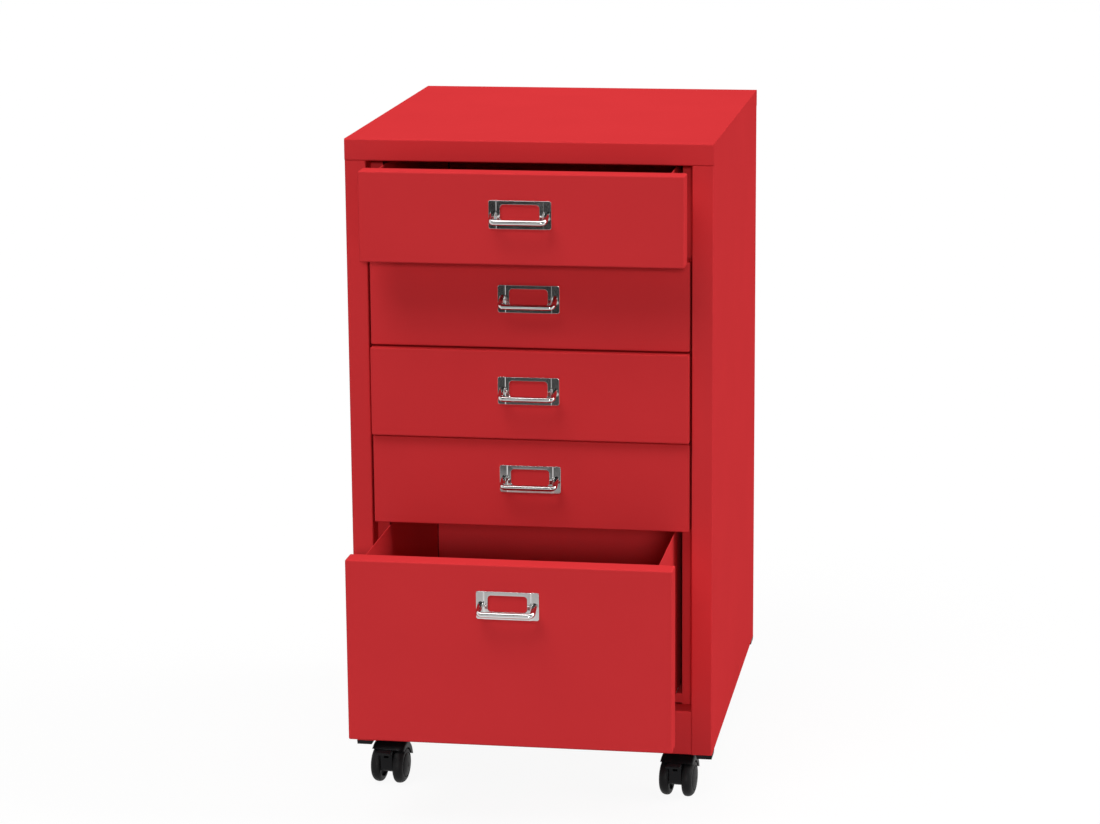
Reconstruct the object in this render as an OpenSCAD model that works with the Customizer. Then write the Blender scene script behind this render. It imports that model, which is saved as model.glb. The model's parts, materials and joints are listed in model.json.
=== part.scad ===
// Office roll container in folded sheet steel: four shallow drawers over one deep drawer, in an
// open-fronted casing on four twin-wheel swivel casters. The two front casters have a brake lever.
//
// Frame: +X to the right, +Y to the back (the drawers open towards -Y), +Z up. The origin is on the
// floor, under the centre of the casing. All sizes are in millimetres.

/* [Casing] */
// Width over the side panels
casing_w = 380; // [340:1:480]
// Space between a closed tub and the back of the casing
rear_space = 46; // [40:1:80]
// Height of the casing's underside above the floor
ground_h = 50; // [50:0.5:60]
// Thickness of the casing's sheet steel
sheet_t = 1; // [0.8:0.1:1.2]
// Height of the top cover's front band
band_h = 22.5; // [18:0.5:40]
// Height of the rail under the lowest drawer
rail_h = 47.5; // [40:0.5:70]
// Width of the front face of each post
post_w = 22; // [20:0.5:30]
// Depth of each post, from its front face to the recessed flange
recess_d = 26; // [26:0.5:32]
// Width of the recessed flange behind the drawer fronts
flange_w = 12.5; // [10:0.5:18]
// Width of the side panels' fold at the back
rear_fold_w = 20; // [14:1:30]
// Height of the folds that join the top cover and the base pan to the side panels
join_fold_h = 12; // [8:1:14]
// Height of the top cover's rear fold
rear_lap_h = 18; // [12:1:30]
// Screws along each edge of the back panel
back_screw_rows = 4; // [2:1:6]

/* [Drawer fronts] */
// Height of a shallow drawer's front
shallow_h = 93; // [80:0.5:120]
// Height of the deep drawer's front
deep_h = 189.5; // [150:0.5:240]
// Depth of the folded front
front_d = 24; // [20:0.5:25]
// Gap between one front and the next
front_gap = 2; // [1.5:0.1:3]
// Gap between the uppermost front and the top cover's band
top_gap = 3.5; // [2:0.5:6]
// Gap between a front and the post beside it
side_gap = 2; // [1.5:0.1:3]
// Height of the fold along the upper edge, at the back of the front
top_fold_h = 8; // [6:0.5:12]
// Lap by which the tub covers the side and lower folds at the back of the front
weld_lap = 4; // [3:0.5:6]

/* [Drawer tubs] */
// Thickness of the drawers' sheet steel
drawer_t = 0.8; // [0.6:0.1:1]
// Length of a tub behind its front
tub_l = 370; // [345:1:378]
// Gap between a tub and the recessed flange beside it
tub_side_gap = 5.5; // [2:0.5:7]
// Height of a tub's underside above the lower edge of its front
tub_lift = 11; // [9.5:0.5:14]
// Height by which a tub's walls stay under the upper edge of its front
tub_drop = 1; // [0.5:0.5:4]
// Slit between the back panel of a tub and its side walls
corner_slit = 1.5; // [0.4:0.1:2]
// Width of the inward folds that carry the back panel of a tub
tub_fold_w = 10; // [8:0.5:14]

/* [Drawer positions] */
// How far drawer 1, the uppermost, stands open
open_1 = 48; // [0:1:200]
// How far drawer 3 stands open
open_3 = 6; // [0:1:200]
// How far drawer 5, the deep one, stands open
open_5 = 143; // [0:1:200]
// Length of tub that stays on the runners when a drawer is open to its stop
stay_l = 70; // [50:1:150]

/* [Runners] */
// Thickness of the runners' sheet steel
runner_t = 1.2; // [1:0.1:1.6]
// Width of the ledge under the edge of a tub
ledge_w = 12; // [11:0.5:16]
// Height of a runner's outer web
runner_web_h = 8; // [5:0.5:8.5]
// Height of a runner's end tabs below the ledge
runner_tab_h = 10; // [8:0.5:10.5]
// Height of the rear stop above the tub's underside
rear_stop_h = 8; // [5:0.5:12]
// Thickness of the nylon glides
glide_t = 2; // [1.5:0.1:2.5]
// Width of the nylon glides
glide_w = 9; // [6:0.5:10]
// Length of the nylon glides
glide_l = 16; // [10:1:22]
// Gap between a glide and what slides on it
slide_gap = 0.2; // [0.1:0.05:0.3]

/* [Pulls] */
// Width of the pull's plate
pull_w = 64; // [58:1:90]
// Height of the pull's plate
pull_h = 29; // [28:0.5:40]
// Thickness of the plate at its ends
pull_t = 1.2; // [1:0.1:2]
// Width of the raised middle that holds a label
raise_w = 47; // [44:0.5:48]
// Height by which the middle is raised
raise_t = 0.8; // [0.5:0.1:1]
// Width of the label window
window_w = 40; // [20:0.5:41]
// Height of the label window
window_h = 17; // [8:0.5:17.5]
// Distance from the upper edge of the plate to the window
window_drop = 4; // [3:0.5:5]
// Distance from the upper edge of a front to the plate
pull_drop = 27; // [20:0.5:32]
// Radius of the grip bar
bar_r = 2.8; // [2:0.1:3.2]
// Length of the grip bar's legs, from the drawer front to the bar's centre line
leg_l = 18; // [15:0.5:20]
// Length of the grip bar between the centre lines of its legs
bar_l = 55; // [50:0.5:56]
// Distance from the upper edge of the plate to the roots of the legs
leg_drop = 13; // [12:0.5:16]
// Slope of the legs below the horizontal, in degrees
leg_slope = 23; // [10:1:30]
// Bend radius at the ends of the grip bar
bar_bend_r = 4.5; // [3.5:0.5:6]
// Radius of the studs that hold the pull
stud_r = 1.6; // [1:0.1:2]

/* [Casters] */
// Distance from the side panel to the swivel axis
caster_inset_x = 35; // [30:0.5:50]
// Distance from the front or back to the swivel axis
caster_inset_y = 36; // [36:0.5:50]
// Angle by which the casters are turned at rest, in degrees
caster_turn = -6; // [-30:1:30]
// Radius of a wheel
wheel_r = 20; // [18:0.5:21]
// Width of a wheel at its tread side
wheel_w = 12.9; // [11.5:0.1:13]
// Height of a wheel's domed cover
dome_h = 2; // [0.5:0.1:2.2]
// Half of the gap between the two wheels
wheel_gap = 6.9; // [6.5:0.1:7.2]
// Trail of the wheels behind the swivel axis
caster_trail = 20; // [17:0.5:22]
// Radius of the wheel axle
axle_r = 2.5; // [2:0.1:3]
// Thickness of the hood
hood_t = 2; // [1.4:0.1:2.2]
// Gap between the wheels and the hood
hood_gap = 1.5; // [1:0.1:1.6]
// Radius of the swivel pin
pin_r = 3.5; // [2.5:0.1:3.5]
// Radius of the threaded end of the stem
thread_r = 4; // [3:0.1:5]
// Radius of the collar between stem and casing
collar_r = 7.5; // [6:0.5:9]
// Radial clearance of the pins and axles that turn
run_fit = 0.05; // [0.02:0.01:0.09]
// Width of the brake lever's pad
lever_w = 15; // [12:0.5:18]

/* [Corner feet] */
// Width of a corner foot
foot_w = 17; // [16:0.5:20.5]
// Depth of a corner foot
foot_d = 24; // [18:0.5:24.5]
// Height of a corner foot below the casing
foot_h = 4.3; // [2:0.1:4.5]
// Height of the plug inside the post
foot_plug_h = 9; // [5:0.5:14]

/* [Hidden] */
$fn = 48;
eps = 0.01;

// Colours
red = [0.73, 0.16, 0.17];
chrome = [0.80, 0.80, 0.80];
steel = [0.62, 0.63, 0.65];
nylon = [0.85, 0.84, 0.80];
black = [0.09, 0.09, 0.10];

// The casing's planes
casing_d = front_d + tub_l + rear_space;
y_front = -casing_d / 2;
y_back = casing_d / 2;
x_side = casing_w / 2;
z_base = ground_h;
opening_z = z_base + rail_h;
opening_top = opening_z + deep_h + 4 * shallow_h + 5 * front_gap + top_gap;
z_top = opening_top + band_h;
x_post = x_side - post_w;
x_flange = x_post - flange_w;
y_flange = y_front + recess_d;

// The drawers, numbered from the top; drawer 5 is the deep one
drawer_open = [open_1, 0, open_3, 0, open_5];
front_hw = x_post - side_gap;
tub_hw = x_flange - tub_side_gap;
lip_hw = tub_hw - weld_lap;
function front_h(k) = k == 5 ? deep_h : shallow_h;
function front_z(k) =
    opening_z + front_gap + (k == 5 ? 0 : deep_h + front_gap + (4 - k) * (shallow_h + front_gap));
function front_y(k) = y_front - drawer_open[k - 1];
function tub_z(k) = front_z(k) + tub_lift;
function tub_top(k) = front_z(k) + front_h(k) - tub_drop;

// The runners and glides
travel = tub_l - stay_l;
function ledge_z(k) = tub_z(k) - glide_t - slide_gap;
ledge_x0 = tub_hw - ledge_w;
ledge_x1 = x_flange - slide_gap;
runner_y0 = y_flange + sheet_t;
stop_gap = 0.5;
runner_y1 = y_front + front_d + tub_l + stop_gap + runner_t;
glide_x = tub_hw - drawer_t - glide_w / 2;
front_glide_y = runner_y0 + runner_t + 2;
rear_glide_y = front_glide_y + glide_l + slide_gap + travel;
peg_r = 1.5;
peg_head_r = 2.6;
peg_head_t = 0.6;
upright_foot = 14;

// Fasteners
screw_r = 1.9;
screw_head_r = 3.8;
screw_head_t = 2.2;
screw_l = 7;
rivet_r = 1.6;
rivet_head_r = 3;
rivet_head_t = 0.9;
washer_r = 4.2;
washer_t = 0.6;
stud_l = drawer_t + washer_t + 0.4;

// The casters, each in a frame with its swivel axis on Z and its wheels towards -Y
caster_x = x_side - caster_inset_x;
caster_y = casing_d / 2 - caster_inset_y;
web_hw = wheel_gap - 0.5;
wheel_out = wheel_gap + wheel_w;
in_rim = 3.5;
out_rim = 6;
hood_ri = wheel_r + hood_gap;
hood_back = 3;
hood_lift = 2;
hood_ro = hood_ri + hood_t + 0.5;
hood_hw = wheel_out - 2;
hood_rim = 5;
hood_front_z = wheel_r + 20;
hood_rear_z = wheel_r + 3;
hood_top = ground_h - foot_h - 0.4;
collar_t = 1.5;
boss_r = 8.4;
boss_top = ground_h - collar_t - 0.3;
pin_bottom = wheel_r + 10;
web_bottom = wheel_r - 5;
axle_l = wheel_out - 1.5;
nut_plate_t = 2.5;
nut_plate_w = 30;
nut_plate_shift = 6.5;
nut_r = 7.4;
nut_h = 6.5;
thread_top = z_base + sheet_t + nut_plate_t + nut_h + 1.5;

// The brake lever, seen from the wheel axle
lever_pivot_y = -9;
lever_pivot_z = 16.5;
lever_pad_y0 = -27;
lever_pad_y1 = -19.6;
lever_t = 2.6;
lever_rise = 3;
trunnion_r = 1.5;
slot_hw = 2.6;
lever_hw = 2.3;

// ---------------------------------------------------------------- helpers

// A box between two corners
module block(lo, hi) {
    translate(lo) cube(hi - lo);
}

// The children and their mirror image in the YZ plane
module both_sides() {
    children();
    mirror([1, 0, 0]) children();
}

// An outline in the YZ plane, made into a slab that reaches half_w to each side of it
module slab(half_w) {
    rotate([90, 0, 90]) translate([0, 0, -half_w]) linear_extrude(2 * half_w) children();
}

// A rod along X between two places
module rod_x(x0, x1, r) {
    translate([x0, 0, 0]) rotate([0, 90, 0]) cylinder(r = r, h = x1 - x0);
}

// A rod along Y between two places
module rod_y(y0, y1, r) {
    translate([0, y1, 0]) rotate([90, 0, 0]) cylinder(r = r, h = y1 - y0);
}

// Points along an arc
function arc(centre, r, a0, a1, steps = 6) =
    [for (i = [0:steps]) centre + r * [cos(a0 + (a1 - a0) * i / steps), sin(a0 + (a1 - a0) * i / steps)]];

// Corners of a rectangle about the origin, rounded
function round_rect(w, h, r) = concat(
    arc([w / 2 - r, h / 2 - r], r, 0, 90),
    arc([r - w / 2, h / 2 - r], r, 90, 180),
    arc([r - w / 2, r - h / 2], r, 180, 270),
    arc([w / 2 - r, r - h / 2], r, 270, 360)
);

// ---------------------------------------------------------------- casing

// Top sheet with the front band, the rear lap and the folds inside the side panels
module top_cover() {
    z_top_in = z_top - sheet_t;
    x_in = x_side - sheet_t;
    band_lip = 12;
    color(red) {
        block([-x_side, y_front, z_top_in], [x_side, y_back, z_top]);
        block([-x_side, y_front, opening_top], [x_side, y_front + sheet_t, z_top_in]);
        block([-x_post, y_front + sheet_t, opening_top], [x_post, y_front + band_lip, opening_top + sheet_t]);
        block([-x_in, y_back - sheet_t, z_top - rear_lap_h], [x_in, y_back, z_top_in]);
        both_sides()
            block([x_in - sheet_t, y_flange + 2 * sheet_t, z_top - join_fold_h],
                  [x_in, y_back - 3 * sheet_t, z_top_in]);
    }
}

// Side sheet with its front post, recessed flange and rear fold
module right_side_sheet() {
    z_side_top = z_top - sheet_t;
    // the folded post ends under the top cover's band
    block([x_side - sheet_t, y_front, z_base], [x_side, y_back, opening_top]);
    block([x_side - sheet_t, y_front + sheet_t, opening_top - eps], [x_side, y_back, z_side_top]);
    block([x_post, y_front, z_base], [x_side, y_front + sheet_t, opening_top]);
    block([x_post, y_front, z_base], [x_post + sheet_t, y_flange + sheet_t, opening_top]);
    // the flange stands on the base pan's floor sheet
    block([x_flange, y_flange, z_base + sheet_t],
          [x_post + sheet_t, y_flange + sheet_t, opening_top]);
    block([x_side - rear_fold_w, y_back - 2 * sheet_t, z_base],
          [x_side, y_back - sheet_t, z_top - rear_lap_h]);
}

module right_side_panel() {
    color(red) difference() {
        right_side_sheet();
        back_screw_places() rod_y(-screw_l, eps, screw_r);
    }
}

module left_side_panel() {
    color(red) mirror([1, 0, 0]) difference() {
        right_side_sheet();
        back_screw_places() rod_y(-screw_l, eps, screw_r);
    }
}

// Places of the back panel's screws, with the panel's outer face at Y = 0
module back_screw_places() {
    margin = 30;
    z0 = z_base + margin;
    z1 = z_top - rear_lap_h - margin;
    for (i = [0:back_screw_rows - 1])
        for (side = [-1, 1])
            translate([side * (x_side - rear_fold_w / 2 - 1), y_back, z0 + (z1 - z0) * i / (back_screw_rows - 1)])
                children();
}

module back_panel() {
    x_in = x_side - sheet_t - slide_gap;
    color(red) difference() {
        block([-x_in, y_back - sheet_t, z_base], [x_in, y_back, z_top - rear_lap_h - slide_gap]);
        back_screw_places() rod_y(-screw_l, eps, screw_r);
    }
}

// Pan-head screws that hold the back panel to the side panels
module back_screws() {
    color(steel) back_screw_places() {
        rod_y(-screw_l, 0, screw_r);
        rod_y(0, screw_head_t, screw_head_r);
    }
}

// Places of the four swivel axes, on the floor
module caster_places() {
    for (side = [-1, 1])
        for (end = [-1, 1])
            translate([side * caster_x, end * caster_y, 0]) children();
}

// Floor sheet, with the rail folded up from its front edge and low folds along its other edges
module base_pan() {
    x_in = x_side - sheet_t;
    y_notch = recess_d + sheet_t;
    y_in = y_back - 2 * sheet_t;
    z_in = z_base + sheet_t;
    rail_top = z_base + rail_h;
    rail_lip = 14;
    color(red) difference() {
        union() {
            // the floor is notched at its corners, where the posts and feet stand
            block([-x_post, y_front, z_base], [x_post, y_in, z_in]);
            block([-x_in, y_front + y_notch, z_base], [x_in, y_back - y_notch, z_in]);
            // the rail
            block([-x_post, y_front, z_base], [x_post, y_front + sheet_t, rail_top]);
            block([-x_post, y_front, rail_top - sheet_t], [x_post, y_flange, rail_top]);
            block([-x_post, y_flange - sheet_t, rail_top - rail_lip], [x_post, y_flange, rail_top]);
            // the folds
            block([-x_post, y_in - sheet_t, z_base], [x_post, y_in, z_base + join_fold_h]);
            both_sides()
                block([x_in - sheet_t, y_front + y_notch, z_base],
                      [x_in, y_back - y_notch, z_base + join_fold_h]);
        }
        caster_places() translate([0, 0, z_base - 1]) cylinder(r = thread_r, h = sheet_t + 2);
    }
}

// One runner: a ledge under the tub with an outer web, welded to the flange and the rear upright
module runner(k) {
    z = ledge_z(k);
    tab_x = x_post - slide_gap;
    difference() {
        union() {
            block([ledge_x0, runner_y0, z - runner_t], [ledge_x1, runner_y1, z]);
            block([ledge_x1 - runner_t, runner_y0, z - runner_web_h], [ledge_x1, runner_y1, z]);
            block([ledge_x0, runner_y0, z - runner_tab_h], [tab_x, runner_y0 + runner_t, z]);
            block([ledge_x0, runner_y1 - runner_t, z - runner_tab_h], [tab_x, runner_y1, tub_z(k) + rear_stop_h]);
        }
        translate([glide_x, front_glide_y + glide_l / 2, z - runner_t - 1]) cylinder(r = peg_r, h = runner_t + 2);
    }
}

module runners() {
    color(red) both_sides() for (k = [1:5]) runner(k);
}

// A nylon glide: a flat pad, with a peg and head through the sheet of thickness hold under it
module glide(hold) {
    translate([-glide_w / 2, -glide_l / 2, 0]) cube([glide_w, glide_l, glide_t]);
    translate([0, 0, -hold]) cylinder(r = peg_r, h = hold + eps);
    translate([0, 0, -hold - peg_head_t]) cylinder(r = peg_head_r, h = peg_head_t);
}

// The front glides carry the tubs, and stop the rear glides at the end of the travel
module runner_glides() {
    color(nylon) both_sides() for (k = [1:5])
        translate([glide_x, front_glide_y + glide_l / 2, ledge_z(k)]) glide(runner_t);
}

// Angles inside the side panels, which carry the rear ends of the runners
module rear_uprights() {
    x_in = x_side - sheet_t;
    z0 = z_base + upright_foot;
    z1 = z_top - join_fold_h - 2;
    color(red) both_sides() {
        block([x_flange, runner_y1, z0], [x_in, runner_y1 + sheet_t, z1]);
        block([x_in - sheet_t, runner_y1, z0], [x_in, runner_y1 + rear_fold_w, z1]);
    }
}

// A plastic foot under one corner, with a plug that stands inside the post
module corner_foot() {
    draft = 1.2;
    x1 = x_side;
    y0 = y_front;
    hull() {
        block([x1 - foot_w, y0, z_base - eps], [x1, y0 + foot_d, z_base]);
        block([x1 - foot_w + draft, y0 + draft / 4, z_base - foot_h],
              [x1 - draft / 4, y0 + foot_d - draft, z_base - foot_h + eps]);
    }
    plug_gap = 0.15;
    block([x1 - foot_w + 1, y0 + sheet_t + plug_gap, z_base - eps],
          [x1 - sheet_t - plug_gap, y0 + foot_d - sheet_t, z_base + foot_plug_h]);
}

module corner_feet() {
    color(black) both_sides() {
        corner_foot();
        // at the rear, the side panel's fold takes the place of the post's face
        translate([0, -sheet_t, 0]) mirror([0, 1, 0]) corner_foot();
    }
}

// Steel plates with a welded nut, on the base pan over each caster
module caster_nut_plates() {
    z = z_base + sheet_t;
    color(steel) for (side = [-1, 1]) for (end = [-1, 1])
        translate([side * caster_x, end * caster_y, z]) difference() {
            union() {
                translate([-nut_plate_w / 2, -nut_plate_w / 2 - end * nut_plate_shift, 0])
                    cube([nut_plate_w, nut_plate_w, nut_plate_t]);
                translate([0, 0, nut_plate_t - eps]) cylinder(r = nut_r, h = nut_h + eps, $fn = 6);
            }
            translate([0, 0, -1]) cylinder(r = thread_r, h = nut_plate_t + nut_h + 2);
        }
}

// Caster stems: thread, collar and the pin that the housing turns on
module caster_stems() {
    color(steel) caster_places() {
        translate([0, 0, ground_h]) cylinder(r = thread_r, h = thread_top - ground_h);
        translate([0, 0, ground_h - collar_t]) cylinder(r = collar_r, h = collar_t);
        translate([0, 0, pin_bottom]) cylinder(r = pin_r, h = ground_h - collar_t - pin_bottom);
    }
}

// ---------------------------------------------------------------- drawers

// Places of the pull's studs in the drawer front's face
module stud_places(k) {
    for (side = [-1, 1])
        translate([side * bar_l / 2, front_y(k), front_z(k) + front_h(k) - pull_drop - leg_drop]) children();
}

// Folded front: a shallow tray that faces backwards, with narrow folds round its back
module drawer_front(k) {
    y0 = front_y(k);
    z0 = front_z(k);
    z1 = z0 + front_h(k);
    t = drawer_t;
    color(red) difference() {
        block([-front_hw, y0, z0], [front_hw, y0 + front_d, z1]);
        block([t - front_hw, y0 + t, z0 + t], [front_hw - t, y0 + front_d - t, z1 - t]);
        block([-lip_hw, y0 + t, tub_z(k) + weld_lap], [lip_hw, y0 + front_d + 1, z1 - top_fold_h]);
        stud_places(k) rod_y(-1, t + 1, stud_r);
    }
}

// Folded tub: floor, side walls and the wall behind the front, open at the back
module drawer_tub(k) {
    y0 = front_y(k) + front_d;
    y1 = y0 + tub_l;
    z0 = tub_z(k);
    z1 = tub_top(k);
    t = drawer_t;
    glide_place = rear_glide_y - drawer_open[k - 1] + glide_l / 2;
    color(red) difference() {
        union() {
            block([-tub_hw, y0, z0], [tub_hw, y1, z0 + t]);
            block([-tub_hw, y0, z0], [tub_hw, y0 + t, z1]);
            both_sides() {
                block([tub_hw - t, y0, z0], [tub_hw, y1, z1]);
                block([tub_hw - t - tub_fold_w, y1 - t, z0], [tub_hw, y1, z1]);
            }
        }
        both_sides() translate([glide_x, glide_place, z0 - 1]) cylinder(r = peg_r, h = t + 2);
        tub_rivet_places(k) rod_y(-2 * t, 1, rivet_r);
    }
}

// Places of the rivets that hold the back panel, at the tub's rear face
module tub_rivet_places(k) {
    z0 = tub_z(k);
    z1 = tub_top(k);
    margin = 14;
    x = tub_hw - drawer_t - corner_slit - tub_fold_w / 2;
    for (side = [-1, 1])
        for (z = [z0 + margin, z1 - margin])
            translate([side * x, front_y(k) + front_d + tub_l, z]) children();
}

// Back panel, in front of the tub's folds
module drawer_tub_back(k) {
    y1 = front_y(k) + front_d + tub_l;
    x = tub_hw - drawer_t - corner_slit;
    color(red) difference() {
        block([-x, y1 - 2 * drawer_t, tub_z(k) + drawer_t], [x, y1 - drawer_t, tub_top(k)]);
        tub_rivet_places(k) rod_y(-3 * drawer_t, 1, rivet_r);
    }
}

// Rivets of the back panel, and the push-on washers of the pull's studs
module drawer_fixings(k) {
    color(steel) {
        tub_rivet_places(k) {
            rod_y(-2 * drawer_t - rivet_head_t, rivet_head_t, rivet_r);
            rod_y(-2 * drawer_t - rivet_head_t, -2 * drawer_t, rivet_head_r);
            rod_y(0, rivet_head_t, rivet_head_r);
        }
        stud_places(k) difference() {
            rod_y(drawer_t, drawer_t + washer_t, washer_r);
            rod_y(0, drawer_t + washer_t + 1, stud_r);
        }
    }
}

// Nylon glides under the rear of the tub, pegged through its floor
module drawer_glides(k) {
    y = rear_glide_y - drawer_open[k - 1] + glide_l / 2;
    color(nylon) both_sides() translate([glide_x, y, tub_z(k)]) mirror([0, 0, 1]) glide(drawer_t);
}

// The grip bar in the XY plane: two legs along -Y, two bends and a straight bar
module grip_bar() {
    half = bar_l / 2;
    both_sides() {
        translate([half, 0, 0]) rod_y(bar_bend_r - leg_l, 0, bar_r);
        translate([half - bar_bend_r, bar_bend_r - leg_l, 0])
            rotate([0, 0, -90]) rotate_extrude(angle = 90) translate([bar_bend_r, 0]) circle(r = bar_r);
    }
    translate([0, -leg_l, 0]) rod_x(bar_bend_r - half, half - bar_bend_r, bar_r);
}

// Label-holder pull in one piece: plate with a raised, windowed middle, grip bar and two studs
module drawer_pull(k) {
    y0 = front_y(k);
    z1 = front_z(k) + front_h(k) - pull_drop;
    card_gap = 0.9;
    window_z = -window_drop - window_h / 2;
    color(chrome) translate([0, y0, z1]) {
        difference() {
            union() {
                translate([0, 0, -pull_h / 2]) rotate([90, 0, 0]) linear_extrude(pull_t)
                    polygon(round_rect(pull_w, pull_h, 2));
                translate([0, -pull_t, -pull_h / 2]) rotate([90, 0, 0]) linear_extrude(raise_t)
                    polygon(round_rect(raise_w, pull_h - 1.6, 1));
                intersection() {
                    translate([0, 0, -leg_drop]) rotate([leg_slope, 0, 0]) grip_bar();
                    block([-pull_w, -2 * leg_l, -2 * pull_h], [pull_w, -pull_t / 2, pull_h]);
                }
            }
            // the window, and the slot for a label card behind it
            translate([0, 1, window_z]) rotate([90, 0, 0]) linear_extrude(pull_t + raise_t + 2)
                polygon(round_rect(window_w, window_h, 3));
            block([-raise_w / 2 + 2, -card_gap, -window_drop - window_h - 2.5], [raise_w / 2 - 2, 1, 1]);
        }
        for (side = [-1, 1])
            translate([side * bar_l / 2, 0, -leg_drop]) rod_y(-pull_t / 2, stud_l, stud_r);
    }
}

// ---------------------------------------------------------------- casters

module at_caster(side, end) {
    translate([side * caster_x, end * caster_y, 0]) rotate([0, 0, caster_turn]) children();
}

// The children, moved from the origin to the wheel axle
module at_axle() {
    translate([0, -caster_trail, wheel_r]) children();
}

// Half outline of a drum with rounded rims: radius along X, width along Y
function drum_half(r, w0, w1, rim) = concat(
    [[0, w0], [r, w0]],
    arc([r - rim, w1 - rim], rim, 0, 90),
    [[0, w1]]
);

// A drum about the X axis, from w0 to w1, with a rounded outer rim
module drum(r, w0, w1, rim) {
    rotate([0, 90, 0]) rotate_extrude() polygon(drum_half(r, w0, w1, rim));
}

// The hood over the treads: a rounded shell, open at its sides, whose centre lies behind and above
// the wheel axle. It stays under the corner feet and is cut along a line that falls towards the stem.
module hood() {
    difference() {
        union() {
            difference() {
                at_axle() translate([0, hood_back, hood_lift]) both_sides()
                    drum(hood_ro, 0, hood_hw, hood_rim);
                block([-40, -caster_trail - 40, hood_top], [40, 40, hood_top + 10]);
            }
            translate([0, 0, wheel_r]) cylinder(r = boss_r, h = boss_top - wheel_r);
        }
        at_axle() both_sides() drum(hood_ri, web_hw, wheel_out - dome_h + hood_gap, out_rim + hood_gap);
        slab(40) polygon([
            [-caster_trail - 40, hood_front_z], [-caster_trail - 15, hood_front_z],
            [boss_r, hood_rear_z], [40, hood_rear_z], [40, -40], [-caster_trail - 40, -40]
        ]);
    }
}

// The web between the wheels, which carries the axle and the swivel pin
module web() {
    y0 = -caster_trail - 16;
    y1 = boss_r;
    slab(web_hw) polygon(concat(
        [[y1, hood_rear_z + 4], [y1 - 3, hood_front_z + 3], [-caster_trail, wheel_r + hood_ri + 0.5]],
        arc([-caster_trail, wheel_r], hood_ri + 0.5, 100, 136),
        arc([y0 + 5, web_bottom + 5], 5, 180, 270),
        arc([y1 - 8, web_bottom + 8], 8, 270, 360)
    ));
}

// Caster housing; a braked one has a slot for the lever
module housing(braked) {
    color(black) difference() {
        union() {
            hood();
            web();
        }
        translate([0, 0, pin_bottom]) cylinder(r = pin_r + run_fit, h = ground_h);
        at_axle() rod_x(-wheel_r, wheel_r, axle_r);
        if (braked) {
            at_axle() translate([0, lever_pivot_y, lever_pivot_z]) {
                block([-slot_hw, -wheel_r, -5.5], [slot_hw, 3.2, 2.5]);
                rod_x(-web_hw + 0.4, web_hw - 0.4, trunnion_r + run_fit);
            }
        }
    }
}

module axle() {
    color(steel) at_axle() rod_x(-axle_l, axle_l, axle_r);
}

// One wheel on the +X side: a tread with rounded shoulders and a domed cover that hides the axle
module wheel() {
    flat_r = wheel_r - out_rim;
    dome_r = (flat_r * flat_r + dome_h * dome_h) / (2 * dome_h);
    dome_a = asin(flat_r / dome_r);
    bore = axle_r + run_fit;
    color(black) at_axle() rotate([0, 90, 0]) rotate_extrude() polygon(concat(
        [[bore, wheel_gap]],
        arc([wheel_r - in_rim, wheel_gap + in_rim], in_rim, -90, 0),
        arc([wheel_r - out_rim, wheel_out - dome_h - out_rim], out_rim, 0, 90),
        arc([0, wheel_out - dome_r], dome_r, 90 - dome_a, 90),
        [[0, axle_l + run_fit], [bore, axle_l + run_fit]]
    ));
}

// Brake lever: a pad in front of the wheels, on an arm that tips on two trunnions in the web
module brake_lever() {
    color(black) at_axle() translate([0, lever_pivot_y, lever_pivot_z]) {
        reach0 = lever_pad_y0 - lever_pivot_y;
        reach1 = lever_pad_y1 - lever_pivot_y;
        slab(lever_hw) polygon([
            [2.2, -1.5], [2.2, 1.5], [-4, 1.8], [reach1 - 2, 1.3 + lever_rise],
            [reach0 + 1, lever_rise - 0.2], [reach0 + 1, lever_rise - 2], [reach1, lever_rise - 1.5],
            [-4, -1.2]
        ]);
        slab(lever_w / 2) polygon([
            [reach1, lever_rise + 1.5], [reach0 + 0.6, lever_rise + 0.3], [reach0, lever_rise - 0.7],
            [reach0 + 0.5, lever_rise - lever_t + 0.3], [reach1, lever_rise + 1.5 - lever_t]
        ]);
        rod_x(-web_hw + 0.5, web_hw - 0.5, trunnion_r);
    }
}

// ---------------------------------------------------------------- nodes

top_cover();
left_side_panel();
right_side_panel();
back_panel();
base_pan();
runners();
runner_glides();
rear_uprights();
corner_feet();
caster_nut_plates();
caster_stems();
back_screws();
drawer_front(1);  // drawer_1_front
drawer_tub(1);  // drawer_1_tub
drawer_tub_back(1);  // drawer_1_tub_back
drawer_pull(1);  // drawer_1_pull
drawer_fixings(1);  // drawer_1_fixings
drawer_glides(1);  // drawer_1_glides
drawer_front(2);  // drawer_2_front
drawer_tub(2);  // drawer_2_tub
drawer_tub_back(2);  // drawer_2_tub_back
drawer_pull(2);  // drawer_2_pull
drawer_fixings(2);  // drawer_2_fixings
drawer_glides(2);  // drawer_2_glides
drawer_front(3);  // drawer_3_front
drawer_tub(3);  // drawer_3_tub
drawer_tub_back(3);  // drawer_3_tub_back
drawer_pull(3);  // drawer_3_pull
drawer_fixings(3);  // drawer_3_fixings
drawer_glides(3);  // drawer_3_glides
drawer_front(4);  // drawer_4_front
drawer_tub(4);  // drawer_4_tub
drawer_tub_back(4);  // drawer_4_tub_back
drawer_pull(4);  // drawer_4_pull
drawer_fixings(4);  // drawer_4_fixings
drawer_glides(4);  // drawer_4_glides
drawer_front(5);  // drawer_5_front
drawer_tub(5);  // drawer_5_tub
drawer_tub_back(5);  // drawer_5_tub_back
drawer_pull(5);  // drawer_5_pull
drawer_fixings(5);  // drawer_5_fixings
drawer_glides(5);  // drawer_5_glides
at_caster(-1, -1) housing(true);  // front_left_housing
at_caster(-1, -1) axle();  // front_left_axle
at_caster(-1, -1) mirror([1, 0, 0]) wheel();  // front_left_wheel_a
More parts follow.
